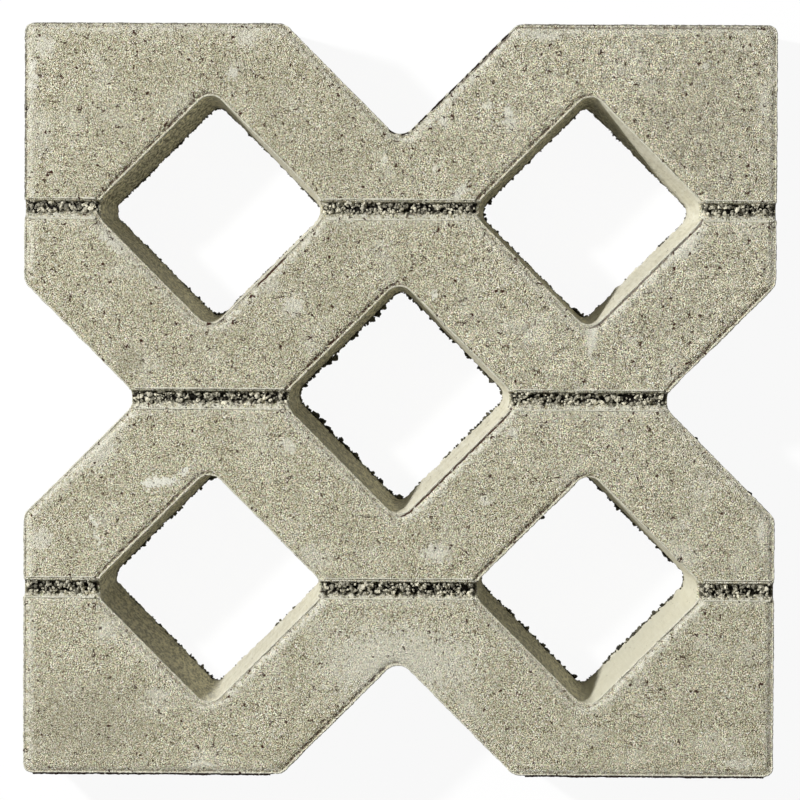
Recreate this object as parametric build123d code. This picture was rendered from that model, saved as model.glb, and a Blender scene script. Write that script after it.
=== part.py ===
"""Square grass paver, cast in one piece from concrete.

Seen from above it has five diamond-shaped cells that go right through, half a cell in the middle of
each side, and three straight channels across the top. The origin is at the centre of the underside,
X runs along the channels and Z points up out of the wearing face. All lengths are in millimetres.
"""
from build123d import *
from math import atan2, degrees, sqrt
import os

# Laying: the pattern of cells runs on from one paver to the next, so its grid is a share of the module
module = 400.0
joint = 4.0
grid = module / 4
block_side = module - joint
thickness = 80.0
block_corner_radius = 5.0

# Cells, at the mouth of their walls, just under the pressed edge
cell_side = 89.5
cell_tip_radius = 8.4
cell_end_flat = 9.4
cell_end_radius = 9.0
cell_wall_lean = 3.2

# Half cells, where the diamond runs out through the side of the block
mouth_radius = 7.8

# Pressed edge: a narrow land along every wall, then a bevel up to the wearing face
land_width = 1.4
bevel_width = 2.2
bevel_drop = 1.2

# Channels that the core bars leave across each row of cells
channel_width = 10.6
channel_floor = 7.0
channel_depth = 6.5
channel_root_radius = 1.2

# Worked out from the sizes above
cell_reach = (cell_side * sqrt(2) - cell_end_flat) / 2
land_level = thickness - bevel_drop
bevel_angle = degrees(atan2(bevel_width, bevel_drop))
wall_angle = degrees(atan2(cell_wall_lean, land_level))
whole_cells = [(0, 0), (grid, grid), (-grid, grid), (-grid, -grid), (grid, -grid)]
side_cells = [(-2 * grid, 0), (2 * grid, 0)]
front_and_back_cells = [(0, -2 * grid), (0, 2 * grid)]
channel_rows = [-grid, 0, grid]


def diamond():
    """A sharp square stood on its corner."""
    return Rectangle(cell_side, cell_side, rotation=45)


def with_flat_ends(outline):
    """A diamond with its left and right corners cut off where the channels reach it."""
    outline = outline & Rectangle(2 * cell_reach, 2 * cell_side)
    ends = [v for v in outline.vertices() if abs(v.X) > cell_reach - 0.001]
    return fillet(ends, cell_end_radius)


def with_round_tips(outline):
    """A diamond with its front and back corners rounded."""
    tips = [v for v in outline.vertices() if abs(v.X) < 0.001]
    return fillet(tips, cell_tip_radius)


def cell_outline():
    """One whole cell at the mouth of its walls."""
    return with_flat_ends(with_round_tips(diamond()))


def block_outline():
    """The square block with half a cell taken out of the middle of each side."""
    square = Rectangle(block_side, block_side)
    outline = fillet(square.vertices(), block_corner_radius)
    for x, y in side_cells:
        outline -= Pos(x, y) * with_flat_ends(diamond())
    for x, y in front_and_back_cells:
        outline -= Pos(x, y) * with_round_tips(diamond())
    mouths = [v for v in outline.vertices() if is_mouth(v)]
    return fillet(mouths, mouth_radius)


def is_mouth(vertex):
    """True where a half cell's wall meets the straight side of the block."""
    near, far = sorted([abs(vertex.X), abs(vertex.Y)])
    return far > block_side / 2 - 0.001 and near < cell_side


def hung_from(level, profile, depth, angle):
    """The profile carried down from a level, narrowing at the given angle."""
    upright = extrude(profile, amount=depth, taper=angle)
    return Pos(0, 0, level) * mirror(upright, about=Plane.XY)


def cell_cutter():
    """The space of one cell: its leaning walls, the land round its mouth and the bevel above."""
    walls = hung_from(land_level, cell_outline(), land_level, wall_angle)
    brim = offset(cell_outline(), land_width + bevel_width)
    return walls + hung_from(thickness, brim, bevel_drop, bevel_angle)


def channel_cutter():
    """One channel along X with sloping sides and a rounded foot, its top at the wearing face."""
    half_top, half_floor = channel_width / 2, channel_floor / 2
    rim = Polyline(
        (-half_top, 0), (-half_floor, -channel_depth), (half_floor, -channel_depth), (half_top, 0), close=True
    )
    section = make_face(rim)
    foot = [v for v in section.vertices() if v.Y < -channel_depth / 2]
    section = fillet(foot, channel_root_radius)
    return extrude(Plane.YZ * section, amount=block_side / 2, both=True)


def paver_block():
    """The whole casting."""
    outline = block_outline()
    crown = extrude(offset(outline, -land_width), amount=bevel_drop, taper=bevel_angle)
    block = extrude(outline, amount=land_level) + Pos(0, 0, land_level) * crown
    cell = cell_cutter()
    for x, y in whole_cells:
        block -= Pos(x, y) * cell
    channel = channel_cutter()
    for y in channel_rows:
        block -= Pos(0, y, thickness) * channel
    return block


os.makedirs("parts", exist_ok=True)
block = paver_block()
block.label = "paver_block"
export_step(block, "parts/paver_block.step")
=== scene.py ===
"""Looks of a cast concrete grass paver, dressed around its construction model.

The casting is the construction model's own form, re-meshed finely and roughened. The loose grain of
the channel floors, the crumbs of the lower rims and the thin fins of the pressed edges are small
meshes of their own that sit in it. All lengths are in metres. Sunward means towards the right front
and backward towards the right back, seen from inside the concrete behind a wall.
"""

from __future__ import annotations

import logging
import math
from dataclasses import dataclass, field
from enum import Enum
from functools import cached_property

import bmesh
import bpy
import numpy as np
from mathutils import Matrix, Vector

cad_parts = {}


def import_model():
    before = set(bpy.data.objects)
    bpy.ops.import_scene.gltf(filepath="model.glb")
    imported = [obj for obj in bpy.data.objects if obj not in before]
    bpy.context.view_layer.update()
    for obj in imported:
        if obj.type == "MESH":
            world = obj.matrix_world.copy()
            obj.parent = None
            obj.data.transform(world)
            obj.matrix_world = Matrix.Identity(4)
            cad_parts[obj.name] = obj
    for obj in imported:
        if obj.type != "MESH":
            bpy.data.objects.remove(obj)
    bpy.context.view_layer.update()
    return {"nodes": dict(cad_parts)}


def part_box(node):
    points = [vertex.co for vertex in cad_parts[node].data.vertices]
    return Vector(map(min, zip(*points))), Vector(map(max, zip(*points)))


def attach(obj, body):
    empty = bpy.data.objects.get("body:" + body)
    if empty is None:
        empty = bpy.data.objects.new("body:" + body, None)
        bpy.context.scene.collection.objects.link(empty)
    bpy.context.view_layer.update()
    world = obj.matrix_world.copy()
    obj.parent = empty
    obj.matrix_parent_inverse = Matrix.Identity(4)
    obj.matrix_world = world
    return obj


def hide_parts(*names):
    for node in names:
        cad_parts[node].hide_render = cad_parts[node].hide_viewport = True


LOG = logging.getLogger("grass_paver")
MM = 0.001
TINY = 1e-9
BODY = "root"
NODE = "paver_block"
Colour = tuple[float, float, float, float]
Fields = dict[str, np.ndarray]
Limits = tuple[float, float]
Polyline = list[Vector]
Socket = bpy.types.NodeSocket


def only(obj: bpy.types.Object) -> None:
    """Select one object alone and make it active.

    Args:
        obj: the object.
    """
    bpy.ops.object.select_all(action="DESELECT")
    obj.select_set(True)
    bpy.context.view_layer.objects.active = obj


def smooth(obj: bpy.types.Object) -> None:
    """Shade an object smooth."""
    only(obj)
    bpy.ops.object.shade_smooth()


def apply_modifier(obj: bpy.types.Object, modifier: bpy.types.Modifier) -> None:
    """Apply one modifier to an object's mesh."""
    only(obj)
    bpy.ops.object.modifier_apply(modifier=modifier.name)


def link_new(name: str, data: bpy.types.ID) -> bpy.types.Object:
    """Put a new object in the scene.

    Args:
        name: the object's name.
        data: its mesh, curve, lamp or camera.

    Returns:
        The object.
    """
    obj = bpy.data.objects.new(name, data)
    bpy.context.scene.collection.objects.link(obj)
    return obj


def vector_rows(items: bpy.types.bpy_prop_collection, name: str) -> np.ndarray:
    """Read one vector from each item of a mesh.

    Args:
        items: the mesh's vertices or normals.
        name: which of their values to read.

    Returns:
        One row for each item.
    """
    flat = np.empty(len(items) * 3, np.float32)
    items.foreach_get(name, flat)
    return flat.reshape(-1, 3).astype(float)


def vertex_array(mesh: bpy.types.Mesh) -> np.ndarray:
    """All vertex positions of a mesh, one row each."""
    return vector_rows(mesh.vertices, "co")


def move_points(mesh: bpy.types.Mesh, points: np.ndarray) -> None:
    """Move every vertex of a mesh to its row."""
    mesh.vertices.foreach_set("co", points.astype(np.float32).ravel())
    mesh.update()


def store(mesh: bpy.types.Mesh, name: str, values: np.ndarray) -> None:
    """Store one value for each point of a mesh, for its material."""
    attribute = mesh.attributes.new(name, "FLOAT", "POINT")
    attribute.data.foreach_set("value", values.astype(np.float32))


def smoothstep(low: float, high: float, values: np.ndarray) -> np.ndarray:
    """A soft step from 0 at low to 1 at high, which may be the smaller of the two."""
    share = np.clip((values - low) / (high - low), 0.0, 1.0)
    return share * share * (3.0 - 2.0 * share)


def waver(along: np.ndarray, phase: float | np.ndarray = 0.0) -> np.ndarray:
    """An uneven wave along a line, from -1 to 1, with features of 3 to 9 mm."""
    return (np.sin(700.0 * along + phase) + np.sin(1190.0 * along + 2 * phase) + np.sin(2030.0 * along)) / 3


def grey(level: float, warm: float = 0.0) -> Colour:
    """A linear grey, leaning to straw as warm grows."""
    return (level * (1.0 + 0.25 * warm), level, level * (1.0 - warm), 1.0)


class Side(Enum):
    """The four walls of a cell, named by the way that each one faces."""

    TO_RIGHT_FRONT = (1, -1)
    TO_LEFT_FRONT = (-1, -1)
    TO_RIGHT_BACK = (1, 1)
    TO_LEFT_BACK = (-1, 1)


class Basis(Enum):
    """The kinds of noise that the reliefs are pressed with."""

    CLOUDY = "BLENDER_ORIGINAL"
    CELLS = "VORONOI_F1"


@dataclass(frozen=True)
class PaverPlan:
    """Sizes of the casting, worked out from the frame and the construction model's own values.

    Attributes:
        side: width of the block.
        top: height of the wearing face.
        lip_gap: how far the smeared paste stays from a channel's upper edges.
        lip_foot: how far above the floor the smeared paste ends.
        edge_shade_depth: how far down the sides the painted shade of the outer edge reaches.
        band_fronts, band_backs: limits of the open grain across each channel, front row first, in mm.
        front_sways, back_sways: how far those limits wander, in mm.
    """

    side: float
    top: float
    joint: float = 4.0 * MM
    cell_side: float = 89.5 * MM
    cell_tip_radius: float = 8.4 * MM
    cell_end_flat: float = 9.4 * MM
    cell_end_radius: float = 9.0 * MM
    bevel_drop: float = 1.2 * MM
    channel_width: float = 10.6 * MM
    channel_floor: float = 7.0 * MM
    channel_depth: float = 6.5 * MM
    lip_gap: float = 0.4 * MM
    lip_foot: float = 1.6 * MM
    edge_shade_depth: float = 4.0 * MM
    band_fronts: tuple[float, float, float] = (-3.5, -2.3, -2.1)
    front_sways: tuple[float, float, float] = (1.3, 1.1, 0.5)
    band_backs: tuple[float, float, float] = (3.5, 4.3, 4.2)
    back_sways: tuple[float, float, float] = (0.7, 0.3, 0.3)

    @property
    def grid(self) -> float:
        """Distance between neighbouring rows of cells."""
        return (self.side + self.joint) / 4

    @property
    def half(self) -> float:
        """Distance from the block's centre to its sides."""
        return self.side / 2

    @property
    def land_level(self) -> float:
        """Height of the narrow land at the foot of the bevel."""
        return self.top - self.bevel_drop

    @property
    def half_diagonal(self) -> float:
        """Distance from a cell's centre to its sharp corners."""
        return self.cell_side / math.sqrt(2)

    @property
    def cell_reach(self) -> float:
        """Distance from a cell's centre to its flat left and right ends."""
        return self.half_diagonal - self.cell_end_flat / 2

    def cell(self, point: Vector) -> tuple[int, int]:
        """Column and row of the cell that is nearest to a point, from the middle one."""
        return round(point.x / self.grid), round(point.y / self.grid)

    def row(self, points: np.ndarray) -> np.ndarray:
        """Number of the channel nearest to each point, counted from the front."""
        return np.clip(np.round(points[:, 1] / self.grid), -1, 1).astype(int) + 1

    def channel_offset(self, points: np.ndarray) -> np.ndarray:
        """Signed Y from the nearest channel's centre line to each point."""
        offsets = np.array([points[:, 1] - y for y in (-self.grid, 0.0, self.grid)])
        return offsets[np.argmin(np.abs(offsets), axis=0), np.arange(len(points))]

    def stone_band(self, points: np.ndarray) -> tuple[np.ndarray, np.ndarray]:
        """Limits of the open grain, across the channel that is nearest to each point.

        Args:
            points: rows of positions.

        Returns:
            The front and the back limit for each row.
        """
        row, along = self.row(points), points[:, 0]
        front = np.array(self.band_fronts)[row] + np.array(self.front_sways)[row] * waver(along, row)
        back = np.array(self.band_backs)[row] + np.array(self.back_sways)[row] * waver(along, row + 4.0)
        return front * MM, back * MM

    def lips(self, points: np.ndarray) -> np.ndarray:
        """Height of the paste that is smeared down from both edges of a channel.

        Args:
            points: rows of positions.

        Returns:
            One height for each row, far below the floor where there is no paste.
        """
        front, back = self.stone_band(points)
        row, across = self.row(points), self.channel_offset(points)
        limit = self.channel_width / 2 - self.lip_gap
        lips = np.full(len(points), -1.0)
        inset, bend = np.array([0.6, 0.0, 0.0])[row] * MM, np.array([1.3, 1.05, 1.5])[row]
        for sign, start, band, power in ((-1.0, limit, -front, 1.15), (1.0, limit - inset, back, bend)):
            share = np.clip((start - sign * across) / (start - band + self.lip_gap), 0.0, 1.0)
            slope = self.top - self.lip_gap - (self.channel_depth - self.lip_foot) * share**power
            lips = np.where((sign * across < limit) & (share < 1.0), np.maximum(lips, slope), lips)
        return lips

    def channel_stretches(self) -> list[tuple[float, float, float]]:
        """List the stretches of channel between the cells.

        Returns:
            The first x, the last x and the y of each stretch.
        """
        edge, grid, reach = self.half, self.grid, self.cell_reach
        outer = [(-edge, -grid - reach), (-grid + reach, grid - reach), (grid + reach, edge)]
        middle = [(-2 * grid + reach, -reach), (reach, 2 * grid - reach)]
        return [(a, b, y) for y in (-grid, grid) for a, b in outer] + [(a, b, 0.0) for a, b in middle]

    def wall_distance(self, points: np.ndarray) -> np.ndarray:
        """Plan distance from each point to the nearest upright wall, positive in the concrete.

        Args:
            points: rows of positions.

        Returns:
            One distance for each row.
        """
        root = math.sqrt(2)
        pitch, x, y = self.grid * root, points[:, 0], points[:, 1]
        along, across = (x + y) / root, (x - y) / root
        near_along, near_across = (np.round(value / pitch) * pitch for value in (along, across))
        centre_x, centre_y = (near_along + near_across) / root, (near_along - near_across) / root
        off_x, off_y = np.abs(x - centre_x), np.abs(y - centre_y)
        radius = np.where(off_y > off_x, self.cell_tip_radius, 0.0)
        reach = self.cell_side / 2 - radius
        first = np.abs(along - near_along) - reach
        second = np.abs(across - near_across) - reach
        outside = np.hypot(np.maximum(first, 0), np.maximum(second, 0))
        cell = outside + np.minimum(np.maximum(first, second), 0) - radius
        cell = np.maximum(cell, off_x - self.cell_reach)
        bend_x = off_x - self.cell_reach + self.cell_end_radius
        bend_y = off_y - self.cell_end_flat / 2 + self.cell_end_radius * (root - 1)
        rounded = (bend_y > 0) & (bend_x > bend_y)
        cell = np.where(rounded, np.hypot(bend_x, bend_y) - self.cell_end_radius, cell)
        solid_corner = np.minimum(np.abs(centre_x), np.abs(centre_y)) > 1.5 * self.grid
        cell = np.where(solid_corner, self.side, cell)
        return np.minimum(cell, self.half - np.maximum(np.abs(x), np.abs(y)))

    def facing(self, points: np.ndarray) -> tuple[np.ndarray, np.ndarray]:
        """How the concrete lies behind the nearest wall: towards the right front, and the right back.

        Args:
            points: rows of positions.

        Returns:
            Two shares from -1 to 1 for each row.
        """
        reach = 0.3 * MM
        right = self.wall_distance(points + (reach, 0, 0)) - self.wall_distance(points - (reach, 0, 0))
        back = self.wall_distance(points + (0, reach, 0)) - self.wall_distance(points - (0, reach, 0))
        length = np.maximum(np.hypot(right, back), TINY) * math.sqrt(2)
        return (right - back) / length, (right + back) / length

    def inward(self, points: np.ndarray) -> np.ndarray:
        """Plan directions from the nearest wall into the concrete.

        Args:
            points: rows of positions.

        Returns:
            One unit direction for each row.
        """
        sunward, backward = self.facing(points)
        ways = np.column_stack([sunward + backward, backward - sunward, 0 * sunward])
        return ways / np.maximum(np.linalg.norm(ways, axis=1, keepdims=True), TINY)

    def outer_edge_shade(self, points: np.ndarray) -> np.ndarray:
        """How much painted shade darkens the block's outermost edge, most along the front.

        Args:
            points: rows of positions.

        Returns:
            One share for each row.
        """
        high, shares = points[:, 2] > self.top - self.edge_shade_depth, np.zeros(len(points))
        sides = ((1, -1, 1.0, 0.2), (0, -1, 0.42, 0.7), (1, 1, 0.7, 0.7), (0, 1, 0.45, 0.6))
        for axis, sign, share, width in sides:
            gap = self.half - sign * points[:, axis]
            near = smoothstep(width * MM + 0.2 * MM, width * MM - 0.2 * MM, gap)
            shares = np.maximum(shares, share * near * high)
        back_left = (points[:, 0] < 1.0 * MM - self.half) & (points[:, 1] > self.half - 100.0 * MM)
        shares = np.where(back_left, 1.8 * shares, shares)
        near = smoothstep(1.2 * MM, 0.8 * MM, self.wall_distance(points)) * high
        in_notch = (np.abs(points[:, 0] - 25.0 * MM) < 32.0 * MM) & (points[:, 1] > self.half - 75.0 * MM)
        return np.maximum(shares, near * in_notch * (waver(points[:, 0]) > -0.3))


@dataclass(frozen=True)
class Relief:
    """One displacement of a mesh along its normals by a noise pattern.

    Attributes:
        kind: noise basis of the pattern.
        grain: size of the pattern's features.
        depth: full height from the pattern's lowest to its highest point.
        zone: vertex group that the relief is kept to, or an empty name for everywhere.
        mid: pattern value that leaves the surface where it is.
        octaves: how many finer copies are added.
        steps: positions and values of a ramp that reshapes the pattern, or nothing.
        jumble: whether points also move sideways.
    """

    kind: Basis
    grain: float
    depth: float
    zone: str = ""
    mid: float = 0.5
    octaves: int = 0
    steps: tuple[tuple[float, float], ...] = ()
    jumble: bool = False

    def texture(self, name: str) -> bpy.types.Texture:
        """Make the noise pattern.

        Args:
            name: the texture's name.

        Returns:
            The pattern as a displacement texture.
        """
        texture = bpy.data.textures.new(name, "CLOUDS")
        texture.noise_basis = self.kind.value
        texture.noise_scale = self.grain
        texture.noise_depth = self.octaves
        texture.cloud_type = "COLOR" if self.jumble else "GRAYSCALE"
        if self.steps:
            texture.use_color_ramp = True
            elements = texture.color_ramp.elements
            while len(elements) < len(self.steps):
                elements.new(1.0)
            for (place, value), element in zip(self.steps, elements):
                element.position, element.color = place, (value, value, value, 1.0)
        return texture

    def press(self, obj: bpy.types.Object, name: str) -> None:
        """Displace an object by this relief and apply it.

        Args:
            obj: the object.
            name: name of the modifier and its texture.
        """
        modifier = obj.modifiers.new(name, "DISPLACE")
        modifier.texture = self.texture(name)
        modifier.texture_coords = "LOCAL"
        modifier.direction = "RGB_TO_XYZ" if self.jumble else "NORMAL"
        modifier.strength = self.depth
        modifier.mid_level = self.mid
        modifier.vertex_group = self.zone
        apply_modifier(obj, modifier)


class NodeSheet:
    """A node tree with short calls for the nodes that the finishes and the stage use."""

    def __init__(self, owner: bpy.types.Material | bpy.types.World | bpy.types.Light) -> None:
        """Empty a tree and start on it.

        Args:
            owner: the material, world or lamp whose tree it is.
        """
        owner.use_nodes = True
        self.owner, self.tree = owner, owner.node_tree
        self.tree.nodes.clear()

    @cached_property
    def place(self) -> Socket:
        """Object coordinates."""
        return self.add("ShaderNodeTexCoord").outputs["Object"]

    def feed(self, socket: Socket, value: object) -> None:
        """Set a socket, or link another one to it.

        Args:
            socket: the input.
            value: its value, or the output that it follows.
        """
        if isinstance(value, Socket):
            self.tree.links.new(value, socket)
        else:
            socket.default_value = value

    def add(self, kind: str, inputs: dict | None = None, **settings: object) -> bpy.types.Node:
        """Add a node.

        Args:
            kind: type of the node.
            inputs: value or link of each named or numbered input.
            settings: the node's own options.

        Returns:
            The node.
        """
        node = self.tree.nodes.new(kind)
        for name, value in settings.items():
            setattr(node, name, value)
        for key, value in (inputs or {}).items():
            self.feed(node.inputs[key], value)
        return node

    def math(self, operation: str, *values: object, clamp: bool = False) -> Socket:
        """The result of one math operation."""
        node = self.add("ShaderNodeMath", dict(enumerate(values)), operation=operation, use_clamp=clamp)
        return node.outputs[0]

    def times(self, first: object, second: object, clamp: bool = False) -> Socket:
        """The product of two values."""
        return self.math("MULTIPLY", first, second, clamp=clamp)

    def plus(self, first: object, second: object, clamp: bool = False) -> Socket:
        """The sum of two values."""
        return self.math("ADD", first, second, clamp=clamp)

    def minus(self, first: object, second: object) -> Socket:
        """The first value less the second."""
        return self.math("SUBTRACT", first, second)

    def larger(self, first: object, second: object) -> Socket:
        """The larger of two values."""
        return self.math("MAXIMUM", first, second)

    def line(self, value: object, slope: object, start: object, clamp: bool = False) -> Socket:
        """The value times a slope, plus a start."""
        return self.math("MULTIPLY_ADD", value, slope, start, clamp=clamp)

    def step(self, value: object, low: float, high: float, start: float = 0.0, end: float = 1.0) -> Socket:
        """A soft step of the value between two limits, from start to end."""
        inputs = dict(enumerate((value, low, high, start, end)))
        return self.add("ShaderNodeMapRange", inputs, interpolation_type="SMOOTHSTEP").outputs[0]

    def clouds(self, grain: float, detail: float, rough: float, drag: float | None = None) -> bpy.types.Node:
        """Add a node of soft noise.

        Args:
            grain: about how large its features are.
            detail: how many finer copies are added.
            rough: how strong the finer copies are.
            drag: its scale upwards, or nothing where it depends on the plan position alone.

        Returns:
            The node, with a value and a colour.
        """
        place, dimensions = self.place, "2D"
        if drag is not None:
            mapping = self.add("ShaderNodeMapping", {"Vector": place, "Scale": (1.0, 1.0, drag)})
            place, dimensions = mapping.outputs[0], "3D"
        inputs = {"Vector": place, "Scale": 1.0 / grain, "Detail": detail, "Roughness": rough}
        return self.add("ShaderNodeTexNoise", inputs, noise_dimensions=dimensions)

    def noise(self, grain: float, detail: float, rough: float = 0.5, drag: float = 1.0) -> Socket:
        """Soft noise in space, drawn out upwards where drag is below 1."""
        return self.clouds(grain, detail, rough, drag).outputs["Fac"]

    def plan_noise(self, grain: float, detail: float = 1.0, rough: float = 0.5) -> Socket:
        """Soft noise that depends on the plan position alone."""
        return self.clouds(grain, detail, rough).outputs["Fac"]

    def tint(self, grain: float, depth: float) -> Socket:
        """A faint random hue that changes over the plan position.

        Args:
            grain: about how large its features are.
            depth: how far each channel may move.

        Returns:
            The hue, about white.
        """
        hue = self.clouds(grain, 1.0, 0.5).outputs["Color"]
        start = 1.0 - depth / 2
        inputs = {0: hue, 1: (depth, depth, depth), 2: (start, start, start)}
        return self.add("ShaderNodeVectorMath", inputs, operation="MULTIPLY_ADD").outputs[0]

    def plan_cells(self, grain: float) -> bpy.types.Node:
        """Random cells in plan, about as large as grain, with a distance and a colour for each."""
        inputs = {"Vector": self.place, "Scale": 1.0 / grain}
        return self.add("ShaderNodeTexVoronoi", inputs, voronoi_dimensions="2D")

    def ramp(self, value: object, stops: tuple[tuple[float, Colour], ...]) -> Socket:
        """Look a colour up from a value.

        Args:
            value: where to look.
            stops: places and colours along the ramp.

        Returns:
            The colour.
        """
        node = self.add("ShaderNodeValToRGB", {0: value})
        elements = node.color_ramp.elements
        while len(elements) < len(stops):
            elements.new(1.0)
        for element, (place, colour) in zip(elements, stops):
            element.position, element.color = place, colour
        return node.outputs["Color"]

    def mix(self, share: object, first: object, second: object) -> Socket:
        """Two colours blended by a share."""
        inputs = {0: share, 6: first, 7: second}
        return self.add("ShaderNodeMix", inputs, data_type="RGBA").outputs[2]

    def shade(self, colour: object, factor: object) -> Socket:
        """A colour multiplied by a value or by another colour."""
        inputs = {0: 1.0, 6: colour, 7: factor}
        return self.add("ShaderNodeMix", inputs, data_type="RGBA", blend_type="MULTIPLY").outputs[2]

    def attribute(self, name: str) -> Socket:
        """A value stored on the mesh's points."""
        return self.add("ShaderNodeAttribute", attribute_name=name).outputs["Fac"]

    def bump(self, height: object, depth: float) -> Socket:
        """A normal tilted by a height pattern that is depth tall."""
        return self.add("ShaderNodeBump", {"Strength": 1.0, "Distance": depth, "Height": height}).outputs[0]

    def blend(self, share: object, first: Socket, second: Socket) -> Socket:
        """Two shaders blended by a share."""
        return self.add("ShaderNodeMixShader", {0: share, 1: first, 2: second}).outputs[0]

    def finish(self, colour: object, normal: object, roughness: float, specular: float) -> bpy.types.Material:
        """Close a material with a plain dielectric surface.

        Args:
            colour: base colour.
            normal: tilted normal.
            roughness: of the surface.
            specular: share of the usual gloss.

        Returns:
            The material.
        """
        shader = self.add("ShaderNodeBsdfPrincipled", {"Base Color": colour, "Normal": normal})
        shader.inputs["Roughness"].default_value = roughness
        shader.inputs["Specular IOR Level"].default_value = specular
        self.add("ShaderNodeOutputMaterial", {"Surface": shader.outputs[0]})
        return self.owner


@dataclass(frozen=True)
class Stain:
    """A soft mark on the wearing face, in millimetres from its centre."""

    x: float
    y: float
    width: float
    height: float
    strength: float
    turn: float = 0.0

    def reach(self, points: np.ndarray) -> np.ndarray:
        """Distance from the mark's middle, as a share of the mark's own size.

        Args:
            points: rows of positions.

        Returns:
            One share for each row.
        """
        right, back = points[:, 0] / MM - self.x, points[:, 1] / MM - self.y
        along = right * math.cos(self.turn) + back * math.sin(self.turn)
        across = back * math.cos(self.turn) - right * math.sin(self.turn)
        return np.hypot(along / self.width, across / self.height)


def stain_table(*rows: tuple[float, ...]) -> tuple[Stain, ...]:
    """One stain for each row of values."""
    return tuple(Stain(*row) for row in rows)


MARKS = {
    "lime": stain_table(
        (-188, 186, 9, 8, 0.8), (-193.5, 175.5, 3.6, 4.5, 1.3), (-193, 169, 3, 3.5, 1.3),
        (-194, 164.5, 3.6, 3, 1.3), (-189, 140, 8, 18, 0.5), (-81, 190, 9, 7, 0.8),
        (-88.5, 172, 4.5, 5, 1.1), (-149, 83, 16, 7, 1.2, -0.6), (-56, 49.5, 8, 8, 0.9),
        (-67.5, 60, 6, 7, 0.6), (22.7, 147, 4, 4.5, 1.1), (-8.5, 127, 2.5, 3, 1.3),
        (18.5, 121.5, 2, 4.5, 1.1, -0.6), (31, 109, 11, 4, 1.0, 0.8), (56.4, 152, 4.5, 4, 1.2),
        (45.8, 155, 3.5, 3, 1.1), (160, 176, 3.5, 2.5, 1.2), (151, 81, 12, 7, 0.9, 0.7),
        (101, 31, 4, 14, 0.8), (190.8, 157.6, 4, 14, 0.7), (74.8, 191.8, 18, 3, 0.9),
        (18, 55, 3, 4, 1.4), (58, 146, 6, 5, 0.9, 0.5), (102, 34, 2.5, 13, 1.2),
        (-127, -44, 14, 3.6, 2.4, 0.1), (-112.5, -37.5, 6, 2.6, 2.2, 0.6), (-161, -65, 1.6, 8, 1.5, 0.5),
        (-158.6, -75.4, 1.6, 8, 1.3, 0.5), (-188.7, -74.3, 8, 9, 0.8), (-158, -28, 16, 10, 0.7, 0.8),
        (-127, -156, 8, 5, 0.7), (-104, -193, 14, 2.2, 1.0), (-154, -123, 9, 8, 0.6),
        (-59.6, -24.2, 8, 5, 0.8, -0.7), (-45, -84, 14, 10, 0.5), (20, -81, 11, 7, 0.9),
        (45.8, -53.2, 5, 5, 0.8), (60, -17.4, 4, 4, 0.9), (0, -140, 60, 32, 0.66),
        (150, -82, 14, 10, 0.5), (190.8, -69, 3.5, 12, 0.7), (180, -191, 14, 4, 0.7),
    ),
    "dense": stain_table(
        (-90, 110, 130, 120, 0.32), (160, 150, 45, 60, 0.50), (-165, -172, 50, 35, 0.75),
        (140, 40, 26, 18, 0.30), (-143, 21, 16, 12, 0.75, 0.6), (-45, -190, 30, 8, 0.30),
    ),
}


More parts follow.
